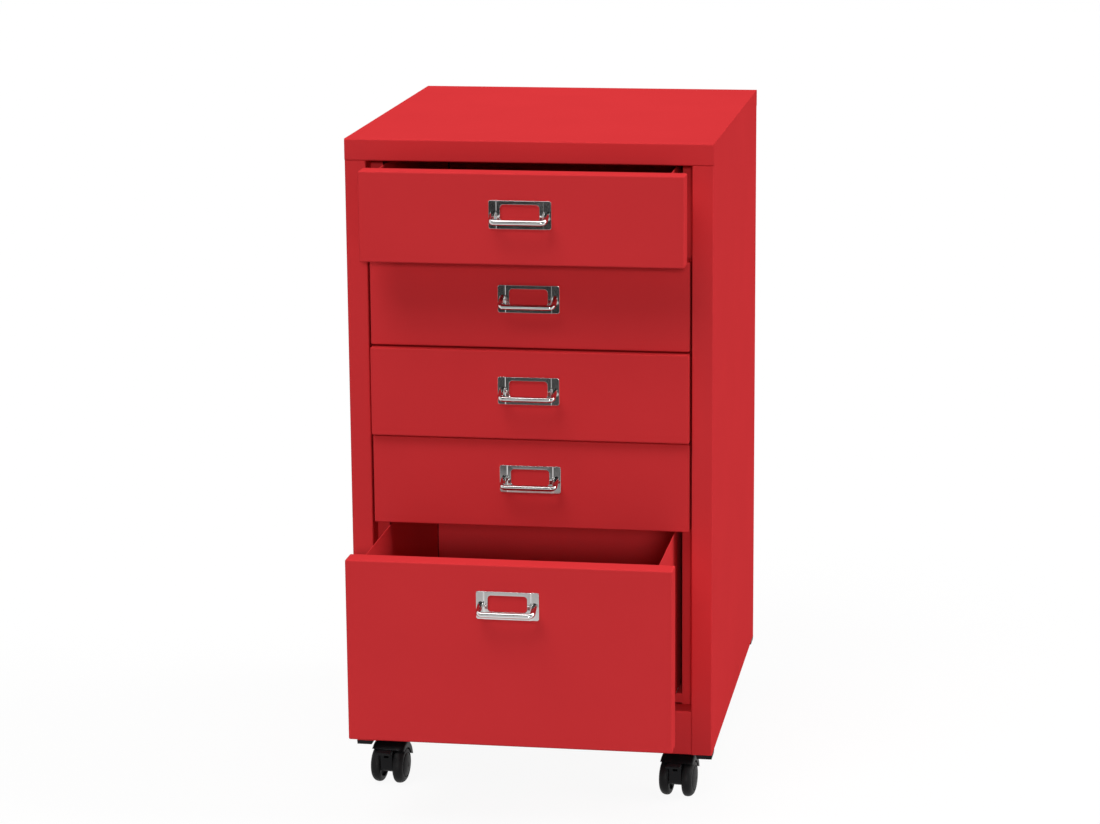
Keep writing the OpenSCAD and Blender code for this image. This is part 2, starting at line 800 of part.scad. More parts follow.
at_caster(-1, -1) wheel();  // front_left_wheel_b
at_caster(-1, -1) brake_lever();  // front_left_brake_lever
at_caster(1, -1) housing(true);  // front_right_housing
at_caster(1, -1) axle();  // front_right_axle
at_caster(1, -1) mirror([1, 0, 0]) wheel();  // front_right_wheel_a
at_caster(1, -1) wheel();  // front_right_wheel_b
at_caster(1, -1) brake_lever();  // front_right_brake_lever
at_caster(-1, 1) housing(false);  // rear_left_housing
at_caster(-1, 1) axle();  // rear_left_axle
at_caster(-1, 1) mirror([1, 0, 0]) wheel();  // rear_left_wheel_a
at_caster(-1, 1) wheel();  // rear_left_wheel_b
at_caster(1, 1) housing(false);  // rear_right_housing
at_caster(1, 1) axle();  // rear_right_axle
at_caster(1, 1) mirror([1, 0, 0]) wheel();  // rear_right_wheel_a
at_caster(1, 1) wheel();  // rear_right_wheel_b
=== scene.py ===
"""Looks of an office roll container in folded sheet steel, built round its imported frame."""

import json
import math

import bmesh
import bpy
from bpy.props import FloatProperty, FloatVectorProperty, IntProperty, PointerProperty
from bpy.types import Operator, Panel, PropertyGroup
from mathutils import Euler, Matrix, Vector


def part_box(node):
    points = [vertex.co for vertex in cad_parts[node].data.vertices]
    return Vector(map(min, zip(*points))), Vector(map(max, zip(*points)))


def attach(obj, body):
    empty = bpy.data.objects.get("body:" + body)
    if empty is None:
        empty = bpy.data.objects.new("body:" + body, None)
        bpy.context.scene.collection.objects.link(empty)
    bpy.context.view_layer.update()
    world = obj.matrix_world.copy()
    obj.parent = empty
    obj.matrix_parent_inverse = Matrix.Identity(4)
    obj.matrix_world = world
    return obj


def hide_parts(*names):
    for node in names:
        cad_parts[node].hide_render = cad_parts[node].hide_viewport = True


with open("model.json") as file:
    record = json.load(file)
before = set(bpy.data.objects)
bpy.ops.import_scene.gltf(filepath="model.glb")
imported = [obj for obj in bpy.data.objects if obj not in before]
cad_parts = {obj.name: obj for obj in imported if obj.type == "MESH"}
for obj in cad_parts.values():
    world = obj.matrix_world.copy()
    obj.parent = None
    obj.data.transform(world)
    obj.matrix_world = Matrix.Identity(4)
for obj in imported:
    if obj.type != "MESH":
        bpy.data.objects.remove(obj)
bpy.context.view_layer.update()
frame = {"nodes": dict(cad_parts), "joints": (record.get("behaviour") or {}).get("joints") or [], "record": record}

bl_info = {
    "name": "Roll container",
    "version": (1, 0, 0),
    "blender": (4, 5, 0),
    "location": "3D View > Sidebar > Cabinet",
    "description": "Builds the visible pieces and the stage of a drawer cabinet on casters",
    "category": "Object",
}

MM = 0.001
DRAWERS = (1, 2, 3, 4, 5)
CASTERS = ("front_left", "front_right", "rear_left", "rear_right")
BRAKED = ("front_left", "front_right")
JOINTS = {joint["name"]: joint for joint in frame["joints"]}
LAMPS = ("above", "front", "right", "left")
FINISHES = {
    "red_sheet": "red_powder_coat", "chrome": "chrome_plate", "zinc_steel": "zinc_plate",
    "nylon": "natural_nylon", "black_plastic": "black_nylon", "black_tread": "wheel_nylon",
}
ACROSS = {"X": (1, 2), "Y": (0, 2), "Z": (0, 1)}
SLACK = 0.1 * MM
MERGE = 0.002 * MM
BEND_STEPS = 4
NOISE_LOW, NOISE_HIGH = 0.3, 0.7
MATT = 0.9


# ---------------------------------------------------------------- settings


def length(label, description, value_mm):
    return FloatProperty(
        name=label, description=description, default=value_mm * MM, min=0.0, unit="LENGTH", precision=5
    )


def colour(label, description, value):
    return FloatVectorProperty(
        name=label, description=description, default=value, size=3, min=0.0, max=1.0, subtype="COLOR"
    )


def factor(label, description, value):
    return FloatProperty(
        name=label, description=description, default=value, min=0.0, max=1.0, subtype="FACTOR"
    )


def strength(label, description, value):
    return FloatProperty(name=label, description=description, default=value, min=0.0)


def degrees(label, description, value):
    return FloatProperty(
        name=label, description=description, default=math.radians(value), subtype="ANGLE"
    )


def direction(label, description, value):
    return FloatVectorProperty(
        name=label, description=description, default=value, size=3, subtype="DIRECTION"
    )


class CABINET_PG_sheet(PropertyGroup):
    """Sizes and finish of the sheet steel parts"""

    casing_t: length("Casing sheet", "Thickness of the casing's sheet", 1.0)
    drawer_t: length("Drawer sheet", "Thickness of the drawers' sheet", 0.8)
    bend_radius: length("Bend radius", "Outer radius of the folds", 1.6)
    cut_edge: length("Cut edge", "Rounding of the coated cut edges", 0.2)
    post_depth: length("Post depth", "From the post's face to the recessed flange", 26.0)
    flange_width: length("Flange width", "Width of the recessed flange", 12.5)
    post_width: length("Post width", "Width of the post's face", 22.0)
    rear_fold: length("Rear fold", "Width of the side panels' fold at the back", 20.0)
    rear_lap: length("Rear lap", "Height of the top cover's fold at the back", 18.0)
    join_fold: length("Joining fold", "Height of the hidden joining folds", 12.0)
    opening_side: length("Tray opening side", "Half width of the opening in a front's back", 146.0)
    opening_low: length("Tray opening bottom", "Opening's lower edge above the front's", 15.0)
    opening_top: length("Tray opening top", "Opening's upper edge below the front's", 8.0)
    tub_fold: length("Tub fold", "Width of the folds that carry a tub's back panel", 10.8)
    coat: colour("Powder coat", "Colour of the powder coat", (0.68, 0.0385, 0.0435))
    coat_dark: colour("Powder coat, thick", "Colour where the coat lies thicker", (0.655, 0.0365, 0.0415))
    # The seam settings place painted shade in the slits at a tub's rear corners, standing in for the shadow in
    # each slit.
    seam_from: length("Seam from", "From the middle to the near side of a tub's rear seam", 147.7)
    seam_to: length("Seam to", "From the middle to the far side of a tub's rear seam", 149.2)
    seam_shade_strength: factor("Seam shade", "How much a tub's rear seam is darker", 0.75)
    coat_gloss: factor("Coat specular", "Specular level of the powder coat", 0.0)


class CABINET_PG_pull(PropertyGroup):
    """Sizes and finish of the label-holder pulls"""

    plate_t: length("Plate", "Thickness of the plate at its ends", 1.2)
    plate_corner: length("Plate corner", "Corner radius of the plate", 2.2)
    raise_t: length("Raised middle", "Height of the raised middle", 0.8)
    raise_side: length("Raised middle side", "Half width of the raised middle", 23.5)
    window_width: length("Window width", "Width of the label window", 40.0)
    window_height: length("Window height", "Height of the label window", 17.0)
    window_drop: length("Window drop", "From the plate's upper edge to the window", 4.0)
    window_corner: length("Window corner", "Corner radius of the label window", 3.6)
    bar_radius: length("Bar radius", "Radius of the grip bar", 2.8)
    bar_half: length("Bar half length", "From the middle to a leg's centre line", 27.5)
    leg_drop: length("Leg drop", "From the plate's upper edge to the legs' roots", 13.0)
    leg_length: length("Leg length", "Length of the grip bar's legs", 18.0)
    bend: length("Bar bend", "Bend radius at the ends of the grip bar", 4.5)
    leg_slope: degrees("Leg slope", "Slope of the legs", 23)
    chrome: colour("Chrome", "Colour of the chrome plate", (0.66, 0.655, 0.65))
    zinc: colour("Zinc", "Colour of the zinc-plated steel", (0.42, 0.43, 0.44))


class CABINET_PG_caster(PropertyGroup):
    """Sizes and finish of the casters and feet"""

    wheel_radius: length("Wheel radius", "Radius of a wheel", 20.0)
    wheel_gap: length("Wheel gap", "From the middle to a wheel's inner side", 6.9)
    wheel_width: length("Wheel width", "Width of a wheel without its dome", 10.9)
    outer_shoulder: length("Outer shoulder", "Rounding of the tread's outer side", 6.0)
    inner_shoulder: length("Inner shoulder", "Rounding of the tread's inner side", 3.5)
    bore_radius: length("Bore radius", "Radius of a wheel's bore", 2.55)
    bore_end: length("Bore end", "From the middle to the end of a wheel's bore", 18.35)
    edge: length("Moulded edge", "Rounding of the moulded edges", 0.5)
    sides: IntProperty(name="Wheel sides", description="Facets round a wheel", default=72, min=24)
    black: colour("Black nylon", "Colour of the housings, levers and feet", (0.0075, 0.0075, 0.0085))
    tread: colour("Wheel nylon", "Colour of the wheels", (0.0095, 0.0095, 0.01))
    nylon: colour("Natural nylon", "Colour of the glides", (0.70, 0.68, 0.61))


class CABINET_PG_stage(PropertyGroup):
    """Camera, lamps and floor"""

    focal: FloatProperty(name="Focal length", description="In millimetres", default=105.3, min=1.0)
    camera_place: FloatVectorProperty(
        name="Camera place", description="Where the camera stands", default=(0.5427, -3.4105, 1.1516),
        size=3, subtype="TRANSLATION",
    )
    camera_turn: FloatVectorProperty(
        name="Camera turn", description="How the camera is turned",
        default=(math.radians(77.157), math.radians(0.442), math.radians(9.183)), size=3, subtype="EULER",
    )
    sky: strength("Sky", "Strength of the even light", 0.05)
    above: strength("Above", "Strength of the lamp above", 1.2)
    above_from: direction("Above from", "Direction of the lamp above", (0.035, -0.06, 1.0))
    above_spread: degrees("Above spread", "How wide the lamp above looks", 60)
    front: strength("Front", "Strength of the lamp at the camera", 0.84)
    front_from: direction("Front from", "Direction of the lamp at the camera", (0.16, -0.957, 0.242))
    front_spread: degrees("Front spread", "How wide the lamp at the camera looks", 6)
    right: strength("Right", "Strength of the lamp on the right", 1.78)
    right_from: direction("Right from", "Direction of the lamp on the right", (0.870, 0.153, 0.469))
    right_spread: degrees("Right spread", "How wide the lamp on the right looks", 40)
    left: strength("Left", "Strength of the high lamp on the left", 1.15)
    left_from: direction("Left from", "Direction of the lamp on the left", (-0.272, -0.472, 0.839))
    left_spread: degrees("Left spread", "How wide the lamp on the left looks", 30)
    floor: colour("Floor", "Colour of the floor", (0.42, 0.42, 0.42))
    floor_seen: colour("Floor as seen", "Colour of the floor that the camera sees", (0.97, 0.97, 0.97))
    paper: factor("Paper white", "Share of plain white that the camera sees in the floor", 0.93)
    # The card's and screen's colours are painted shade and a painted falloff of light, seen only in reflections.
    card: colour("Card", "Colour of the card's far part and the screen", (0.035, 0.035, 0.035))
    card_gain: FloatProperty(
        name="Card gain", description="How many times lighter the far part is at the fold", default=3.4,
        min=1.0,
    )
    card_light: colour("Card near colour", "Colour of the card towards its near edge", (0.56, 0.55, 0.545))
    card_near: length("Card near edge", "From the middle of the floor to the card", 1150.0)
    card_middle: length("Card fold", "From the middle of the floor to where the card turns dark", 1520.0)
    card_far: length("Card dark part", "From the middle of the floor to the card's darkest part", 2700.0)
    card_fold: length("Card fold width", "Half width of the change of colour at the fold", 60.0)
    card_depth: length("Card depth", "Depth of the card", 6300.0)
    card_width: length("Card width", "Width of the card and the screen", 8000.0)
    screen_near: length("Screen distance", "From the middle of the floor to the hanging screen", 3000.0)
    screen_low: length("Screen lower edge", "Height of the hanging screen's lower edge", 1500.0)
    screen_high: length("Screen upper edge", "Height of the hanging screen's upper edge", 7500.0)
    floor_size: length("Floor size", "Width of the floor", 16000.0)


# ---------------------------------------------------------------- modelling


def deselect():
    """Leaves edit mode, with nothing selected."""
    if bpy.context.object and bpy.context.object.mode != "OBJECT":
        bpy.ops.object.mode_set(mode="OBJECT")
    bpy.ops.object.select_all(action="DESELECT")


def only(piece):
    """Leaves one piece selected and active, in object mode."""
    deselect()
    piece.select_set(True)
    bpy.context.view_layer.objects.active = piece


def begin(name):
    """Names the primitive that was just added, applies its place and size, and goes to edit mode."""
    piece = bpy.context.object
    piece.name = piece.data.name = name
    bpy.ops.object.transform_apply(location=True, rotation=True, scale=True)
    bpy.ops.object.mode_set(mode="EDIT")
    return piece


def begin_box(name, low, high):
    """A box between two corners, in edit mode."""
    deselect()
    bpy.ops.mesh.primitive_cube_add(size=1, location=(Vector(low) + Vector(high)) / 2)
    bpy.context.object.scale = Vector(high) - Vector(low)
    return begin(name)


def pick(piece, kind, test):
    """Selects the vertices, edges or faces of a piece that pass a test."""
    bpy.ops.mesh.select_mode(type=kind)
    bpy.ops.mesh.select_all(action="DESELECT")
    mesh = bmesh.from_edit_mesh(piece.data)
    parts = {"VERT": mesh.verts, "EDGE": mesh.edges, "FACE": mesh.faces}[kind]
    found = [part for part in parts if test(part)]
    if not found:
        raise RuntimeError(f"{piece.name}: no {kind.lower()} is where it should be")
    for part in found:
        part.select_set(True)
    mesh.select_flush_mode()
    bmesh.update_edit_mesh(piece.data)


def near(a, b, slack=0.02 * MM):
    return abs(a - b) < slack


def bevel(offset, segments):
    """Rounds the selected edges."""
    bpy.ops.mesh.bevel(offset=offset, segments=segments, affect="EDGES")


def crosses(edge, depth):
    """Whether an edge runs from front to back over more than a depth."""
    return abs(edge.verts[0].co.y - edge.verts[1].co.y) > depth


def push(step):
    """Extrudes what is selected by a step."""
    bpy.ops.mesh.extrude_region_move(TRANSFORM_OT_translate={"value": tuple(step)})


def modify(piece, kind, **values):
    """Adds a modifier to a piece and applies it."""
    only(piece)
    modifier = piece.modifiers.new(kind.title(), kind)
    for name, value in values.items():
        setattr(modifier, name, value)
    bpy.ops.object.modifier_apply(modifier=modifier.name)


def thicken(piece, thickness):
    """Gives a skin its wall, on the side away from its normals."""
    modify(
        piece, "SOLIDIFY", thickness=thickness, offset=-1, use_even_offset=True, use_quality_normals=True
    )


def cut(piece, cutter):
    """Takes a cutter's shape out of a piece and removes the cutter."""
    modify(piece, "BOOLEAN", operation="DIFFERENCE", object=cutter, solver="EXACT")
    bpy.data.objects.remove(cutter)


def slice_across(*places):
    """Gives the piece in edit mode a line of edges at each place along X."""
    for x in places:
        bpy.ops.mesh.select_all(action="SELECT")
        bpy.ops.mesh.bisect(plane_co=(x, 0, 0), plane_no=(1, 0, 0))


def round_edges(piece, width, segments=2, angle=50):
    modify(
        piece, "BEVEL", width=width, segments=segments, limit_method="ANGLE",
        angle_limit=math.radians(angle), miter_outer="MITER_ARC",
    )


def smooth(piece, angle=40):
    """Smooth shading that keeps the flats flat."""
    only(piece)
    bpy.ops.object.shade_smooth_by_angle(angle=math.radians(angle))
    modify(piece, "WEIGHTED_NORMAL", mode="FACE_AREA", weight=50, keep_sharp=True)


def finish(piece, slot, body, node):
    """Gives a piece the finish of its slot, puts it on its body and hides the CAD node that it stands for."""
    piece.data.materials.clear()
    piece.data.materials.append(bpy.data.materials[FINISHES[slot]])
    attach(piece, body)
    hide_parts(node)


def join(name, pieces):
    """Makes several pieces one."""
    only(pieces[0])
    for piece in pieces:
        piece.select_set(True)
    bpy.ops.object.join()
    pieces[0].name = pieces[0].data.name = name
    return pieces[0]


def copy_to(original, name, matrix):
    """A copy of a piece with a mesh of its own, moved and turned by a matrix."""
    deselect()
    copy = bpy.data.objects.new(name, original.data.copy())
    copy.data.name = name
    bpy.context.scene.collection.objects.link(copy)
    copy.matrix_world = matrix
    only(copy)
    bpy.ops.object.transform_apply(location=True, rotation=True, scale=True)
    return copy


def copy_of_node(node, name):
    """A merged copy of a CAD node, its flats made single faces."""
    copy = bpy.data.objects.new(name, frame["nodes"][node].data.copy())
    copy.data.name = name
    bpy.context.scene.collection.objects.link(copy)
    only(copy)
    bpy.ops.object.mode_set(mode="EDIT")
    bpy.ops.mesh.select_all(action="SELECT")
    bpy.ops.mesh.remove_doubles(threshold=MERGE)
    nearly_flat = math.radians(0.8)
    bpy.ops.mesh.dissolve_limited(angle_limit=nearly_flat)
    bpy.ops.mesh.normals_make_consistent(inside=False)
    bpy.ops.object.mode_set(mode="OBJECT")
    return copy


def in_space(axis, u, v, w):
    """A point given by its two places across an axis and its place along it."""
    point = Vector((0, 0, 0))
    point[ACROSS[axis][0]] = u
    point[ACROSS[axis][1]] = v
    point["XYZ".index(axis)] = w
    return point


def folded_skin(name, axis, path, low, high, radius, thickness):
    """The outer skin of a folded sheet, in edit mode. It runs along a path across an axis, from low to
    high along it, with its material on the path's left."""
    path = [Vector(corner) for corner in path]
    across = in_space(axis, 0, 0, 1)
    leg = path[1] - path[0]
    along = in_space(axis, leg.x, leg.y, 0)
    middle = (path[0] + path[1]) / 2
    unit = along.normalized()
    turn = Matrix((across, unit, across.cross(unit))).transposed()
    deselect()
    bpy.ops.mesh.primitive_plane_add(
        size=1, location=in_space(axis, middle.x, middle.y, (low + high) / 2), rotation=turn.to_euler()
    )
    bpy.context.object.scale = (high - low, along.length, 1)
    piece = begin(name)
    u, v = ACROSS[axis]

    def at_corner(corner):
        return lambda edge: all(near(p.co[u], corner.x) and near(p.co[v], corner.y) for p in edge.verts)

    for here, there in zip(path[1:], path[2:]):
        pick(piece, "EDGE", at_corner(here))
        push(in_space(axis, there.x - here.x, there.y - here.y, 0))
    for before, here, after in zip(path, path[1:], path[2:]):
        left_turn = (here - before).cross(after - here) > 0
        pick(piece, "EDGE", at_corner(here))
        bevel(radius if left_turn else radius - thickness, BEND_STEPS)
    face_outwards(piece, in_space(axis, leg.y, -leg.x, 0), middle, axis)
    return piece


def face_outwards(piece, outside, middle, axis):
    """Turns a skin's faces so that the leg round middle faces outside."""
    bpy.ops.mesh.select_all(action="SELECT")
    bpy.ops.mesh.normals_make_consistent(inside=False)
    mesh = bmesh.from_edit_mesh(piece.data)
    u, v = ACROSS[axis]

    def distance(face):
        centre = face.calc_center_median()
        return (Vector((centre[u], centre[v])) - middle).length

    leg = min(mesh.faces, key=distance)
    if leg.normal.dot(outside) < 0:
        bpy.ops.mesh.flip_normals()


def folded_sheet(name, axis, path, low, high, sheet, thickness):
    """A folded sheet with its wall, in object mode."""
    piece = folded_skin(name, axis, path, low, high, sheet.bend_radius, thickness)
    thicken(piece, thickness)
    return piece


def mirrored(path):
    """A path's mirror image, in the order that keeps its material on the left."""
    return [(-x, y) for x, y in reversed(path)]


# ---------------------------------------------------------------- materials


def new_group(name, inputs, outputs):
    """A shader node group with float inputs {name: default} and the named float outputs."""
    group = bpy.data.node_groups.new(name, "ShaderNodeTree")
    for label, value in inputs.items():
        socket = group.interface.new_socket(label, in_out="INPUT", socket_type="NodeSocketFloat")
        socket.default_value = value
    for label in outputs:
        group.interface.new_socket(label, in_out="OUTPUT", socket_type="NodeSocketFloat")
    return group, group.nodes.new("NodeGroupInput"), group.nodes.new("NodeGroupOutput")


def surface_grain():
    """Small bumps and a large, soft unevenness, in the object's own coordinates."""
    group, entry, result = new_group(
        "surface_grain", {"Bumps": 900.0, "Mottle": 14.0}, ("Height", "Unevenness")
    )
    place = group.nodes.new("ShaderNodeTexCoord")
    bumps = group.nodes.new("ShaderNodeTexNoise")
    bumps.inputs["Detail"].default_value = 2.0
    patches = group.nodes.new("ShaderNodeTexNoise")
    patches.inputs["Detail"].default_value = 4.0
    patches.inputs["Roughness"].default_value = 0.55
    link = group.links.new
    link(place.outputs["Object"], bumps.inputs["Vector"])
    link(place.outputs["Object"], patches.inputs["Vector"])
    link(entry.outputs["Bumps"], bumps.inputs["Scale"])
    link(entry.outputs["Mottle"], patches.inputs["Scale"])
    link(bumps.outputs["Fac"], result.inputs["Height"])
    link(patches.outputs["Fac"], result.inputs["Unevenness"])


def dust_specks():
    """A sparse mask of small specks, such as lint or scuffs."""
    group, entry, result = new_group("dust_specks", {"Scale": 160.0, "Share": 0.2}, ("Mask",))
    place = group.nodes.new("ShaderNodeTexCoord")
    cells = group.nodes.new("ShaderNodeTexVoronoi")
    cells.inputs["Randomness"].default_value = 1.0
    fade = group.nodes.new("ShaderNodeMath")
    fade.operation = "SUBTRACT"
    fade.use_clamp = True
    link = group.links.new
    link(place.outputs["Object"], cells.inputs["Vector"])
    link(entry.outputs["Scale"], cells.inputs["Scale"])
    link(entry.outputs["Share"], fade.inputs[0])
    link(cells.outputs["Distance"], fade.inputs[1])
    link(fade.outputs[0], result.inputs["Mask"])


def new_material(name, metallic=0.0, specular=0.5):
    """The node tree and the shader of a new material."""
    material = bpy.data.materials.new(name)
    material.use_nodes = True
    tree = material.node_tree
    shader = next(node for node in tree.nodes if node.type == "BSDF_PRINCIPLED")
    shader.inputs["Metallic"].default_value = metallic
    shader.inputs["Specular IOR Level"].default_value = specular
    return tree, shader


def use_group(tree, name, **values):
    node = tree.nodes.new("ShaderNodeGroup")
    node.node_tree = bpy.data.node_groups[name]
    for label, value in values.items():
        node.inputs[label].default_value = value
    return node


def blend_colours(tree, mask, low, high):
    """A colour between two, by a mask. Each of the two is a colour or another node's output."""
    mix = tree.nodes.new("ShaderNodeMix")
    mix.data_type = "RGBA"
    for socket, side in (("A", low), ("B", high)):
        if isinstance(side, bpy.types.NodeSocket):
            tree.links.new(side, mix.inputs[socket])
        else:
            mix.inputs[socket].default_value = (*side, 1)
    tree.links.new(mask, mix.inputs["Factor"])
    return mix.outputs["Result"]


def ramp(tree, value, start, end, low=0.0, high=1.0):
    """A value that goes from low to high while another goes from start to end."""
    node = tree.nodes.new("ShaderNodeMapRange")
    for label, number in (("From Min", start), ("From Max", end), ("To Min", low), ("To Max", high)):
        node.inputs[label].default_value = number
    tree.links.new(value, node.inputs["Value"])
    return node.outputs["Result"]


def mottle(tree, grain, low=0.0, high=1.0):
    """A value between two that follows the soft unevenness of the grain."""
    return ramp(tree, grain.outputs["Unevenness"], NOISE_LOW, NOISE_HIGH, low, high)


def roughen(tree, shader, grain, low, high, depth, firmness):
    """Gives a shader an uneven roughness between two values, and the bumps of the grain."""
    tree.links.new(mottle(tree, grain, low, high), shader.inputs["Roughness"])
    bumps = tree.nodes.new("ShaderNodeBump")
    bumps.inputs["Strength"].default_value = firmness
    bumps.inputs["Distance"].default_value = depth
    tree.links.new(grain.outputs["Height"], bumps.inputs["Height"])
    tree.links.new(bumps.outputs["Normal"], shader.inputs["Normal"])


def powder_coat(sheet):
    tree, shader = new_material("red_powder_coat", specular=sheet.coat_gloss)
    grain = use_group(tree, "surface_grain", Bumps=850.0, Mottle=9.0)
    coat = blend_colours(tree, mottle(tree, grain), sheet.coat, sheet.coat_dark)
    # Painted shade: where a tub's faces are marked in the slits at its rear corners, the coat is darkened to stand
    # in for the shadow in the slit.
    seam = tree.nodes.new("ShaderNodeAttribute")
    seam.attribute_name = "seam"
    shaded = tuple((1 - sheet.seam_shade_strength) * value for value in sheet.coat)
    coat = blend_colours(tree, seam.outputs["Fac"], coat, shaded)
    tree.links.new(coat, shader.inputs["Base Color"])
    roughen(tree, shader, grain, low=0.40, high=0.48, depth=0.03 * MM, firmness=0.35)


def chrome_plate(pull):
    tree, shader = new_material("chrome_plate", metallic=1.0)
    grain = use_group(tree, "surface_grain", Bumps=260.0, Mottle=70.0)
    dulling = 0.93
    dull = tuple(dulling * value for value in pull.chrome)
    plate = blend_colours(tree, mottle(tree, grain), pull.chrome, dull)
    tree.links.new(plate, shader.inputs["Base Color"])
    roughen(tree, shader, grain, low=0.07, high=0.15, depth=0.01 * MM, firmness=0.2)


def zinc_plate(pull):
    tree, shader = new_material("zinc_plate", metallic=1.0)
    grain = use_group(tree, "surface_grain", Bumps=1500.0, Mottle=120.0)
    warmth = (1.04, 0.99, 0.88)
    warm = tuple(value * share for value, share in zip(pull.zinc, warmth))
    plate = blend_colours(tree, mottle(tree, grain), pull.zinc, warm)
    tree.links.new(plate, shader.inputs["Base Color"])
    roughen(tree, shader, grain, low=0.28, high=0.42, depth=0.01 * MM, firmness=0.3)


def moulded_plastic(name, shade, rough, specks):
    """Moulded nylon with a fine eroded grain and a few scuffs."""
    tree, shader = new_material(name, specular=0.12)
    grain = use_group(tree, "surface_grain", Bumps=2200.0, Mottle=60.0)
    scuffs = use_group(tree, "dust_specks", Scale=420.0, Share=specks)
    worn_gain, worn_lift = 1.3, 0.01
    worn = tuple(value * worn_gain + worn_lift for value in shade)
    skin = blend_colours(tree, scuffs.outputs["Mask"], shade, worn)
    tree.links.new(skin, shader.inputs["Base Color"])
    smoother, rougher = rough - 0.05, rough + 0.06
    roughen(tree, shader, grain, smoother, rougher, depth=0.02 * MM, firmness=0.35)


# ---------------------------------------------------------------- casing


def build_top_cover(sheet):
    """Top sheet with its front band, its rear lap and the folds inside the side panels."""
    low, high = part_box("top_cover")
    t = sheet.casing_t
    lip = 12 * MM
    path = [
        (high.y, high.z - sheet.rear_lap), (high.y, high.z), (low.y, high.z), (low.y, low.z),
        (low.y + lip, low.z),
    ]
    cover = folded_sheet("top_cover_sheet", "X", path, low.x, high.x, sheet, t)
    inside = high.x - t
    fold = [(inside, high.z - sheet.join_fold), (inside, high.z - t), (inside - lip, high.z - t)]
    back, front = high.y - 3 * t, low.y + sheet.post_depth + 2 * t
    folds = [
        folded_sheet("cover_fold_a", "Y", fold, front, back, sheet, t),
        folded_sheet("cover_fold_b", "Y", mirrored(fold), front, back, sheet, t),
    ]
    round_edges(cover, sheet.cut_edge)
    cover = join("top_cover_sheet", [cover, *folds])
    smooth(cover)
    finish(cover, "red_sheet", "casing", "top_cover")


def side_path(sheet):
    """Plan of the right side panel, from the recessed flange round to the rear fold."""
    low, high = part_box("right_side_panel")
    y_flange = low.y + sheet.post_depth
    x_post = high.x - sheet.post_width
    y_rear = high.y - sheet.casing_t
    return [
        (x_post - sheet.flange_width, y_flange), (x_post, y_flange), (x_post, low.y), (high.x, low.y),
        (high.x, y_rear), (high.x - sheet.rear_fold, y_rear),
    ]


def build_side_panel(sheet, side):
    """Side sheet with its post, recessed flange and rear fold. Above the post it goes on behind the
    band."""
    node = f"{side}_side_panel"
    low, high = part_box(node)
    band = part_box("top_cover")[0].z
    outer = high.x if side == "right" else low.x
    path = side_path(sheet) if side == "right" else mirrored(side_path(sheet))
    panel = folded_skin(f"{node}_sheet", "Z", path, low.z, band, sheet.bend_radius, sheet.casing_t)
    side_length, edge_height, corner = 100 * MM, 5 * MM, 3 * MM
    pick(
        panel, "EDGE",
        lambda edge: edge.calc_length() > side_length
        and all(near(v.co.x, outer) and near(v.co.z, band) for v in edge.verts),
    )
    push((0, 0, high.z - band))
    pick(
        panel, "EDGE",
        lambda edge: edge.is_boundary and abs(edge.verts[0].co.z - edge.verts[1].co.z) > edge_height
        and all(v.co.y < low.y + corner and near(v.co.x, outer) and v.co.z > band - MM for v in edge.verts),
    )
    push((0, sheet.casing_t - sheet.bend_radius, 0))
    inner = abs(outer) - sheet.post_width
    pick(panel, "VERT", lambda v: near(v.co.z, low.z) and abs(v.co.x) < inner - SLACK)
    bpy.ops.transform.translate(value=(0, 0, sheet.casing_t))
    thicken(panel, sheet.casing_t)
    round_edges(panel, sheet.cut_edge)
    smooth(panel)
    finish(panel, "red_sheet", "casing", node)


def build_base_pan(sheet):
    """Floor sheet with the front rail and its low folds."""
    low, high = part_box("base_pan")
    t = sheet.casing_t
    half = high.x + t - sheet.post_width
    y_flange = low.y + sheet.post_depth
    rail_lip = 14 * MM
    path = [
        (y_flange, high.z - rail_lip), (y_flange, high.z), (low.y, high.z), (low.y, low.z), (high.y, low.z),
        (high.y, low.z + sheet.join_fold),
    ]
    pan = folded_sheet("base_pan_sheet", "X", path, -half, half, sheet, t)
    wing = [(half, low.z), (high.x, low.z), (high.x, low.z + sheet.join_fold)]
    reach = -low.y - sheet.post_depth - t
    wings = [
        folded_sheet("pan_wing_a", "Y", wing, -reach, reach, sheet, t),
        folded_sheet("pan_wing_b", "Y", mirrored(wing), -reach, reach, sheet, t),
    ]
    round_edges(pan, sheet.cut_edge)
    pan = join("base_pan_sheet", [pan, *wings])
    smooth(pan)
    finish(pan, "red_sheet", "casing", "base_pan")


def build_back_screws():
    """Pan-head screws with a cross recess."""
    low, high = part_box("back_screws")
    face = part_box("back_panel")[1].y
    head_r, head_h, dome = 3.8 * MM, high.y - face, 1.3 * MM
    half = (high.x - low.x) / 2 - head_r
    deselect()
    bpy.ops.mesh.primitive_cylinder_add(
        vertices=28, radius=head_r, depth=head_h, location=(0, head_h / 2, 0), rotation=(math.pi / 2, 0, 0)
    )
    master = begin("back_screw")
    pick(master, "EDGE", lambda edge: all(near(v.co.y, head_h) for v in edge.verts))
    bevel(dome, segments=4)
    recess, recess_drop = Vector((3.6, 1.4, 0.8)) * MM, 0.3 * MM
    recess_place = Matrix.Translation((0, head_h - recess_drop, 0))
    for turn in (0, math.pi / 2):
        bar = begin_box("screw_recess", -recess / 2, recess / 2)
        cut(master, copy_to(bar, "screw_cut", recess_place @ Matrix.Rotation(turn, 4, "Y")))
        bpy.data.objects.remove(bar)
    rows = 4
    pitch = (high.z - low.z - 2 * head_r) / (rows - 1)
    turn_by_row, turn_by_side = math.radians(37), math.radians(20)
    copies = [
        copy_to(
            master, "back_screw_copy",
            Matrix.Translation((side * half, face, low.z + head_r + pitch * row))
            @ Matrix.Rotation(turn_by_row * row + turn_by_side * side, 4, "Y"),
        )
        for side in (-1, 1) for row in range(rows)
    ]
    bpy.data.objects.remove(master)
    screws = join("back_screw_heads", copies)
    smooth(screws, angle=35)
    finish(screws, "zinc_steel", "casing", "back_screws")


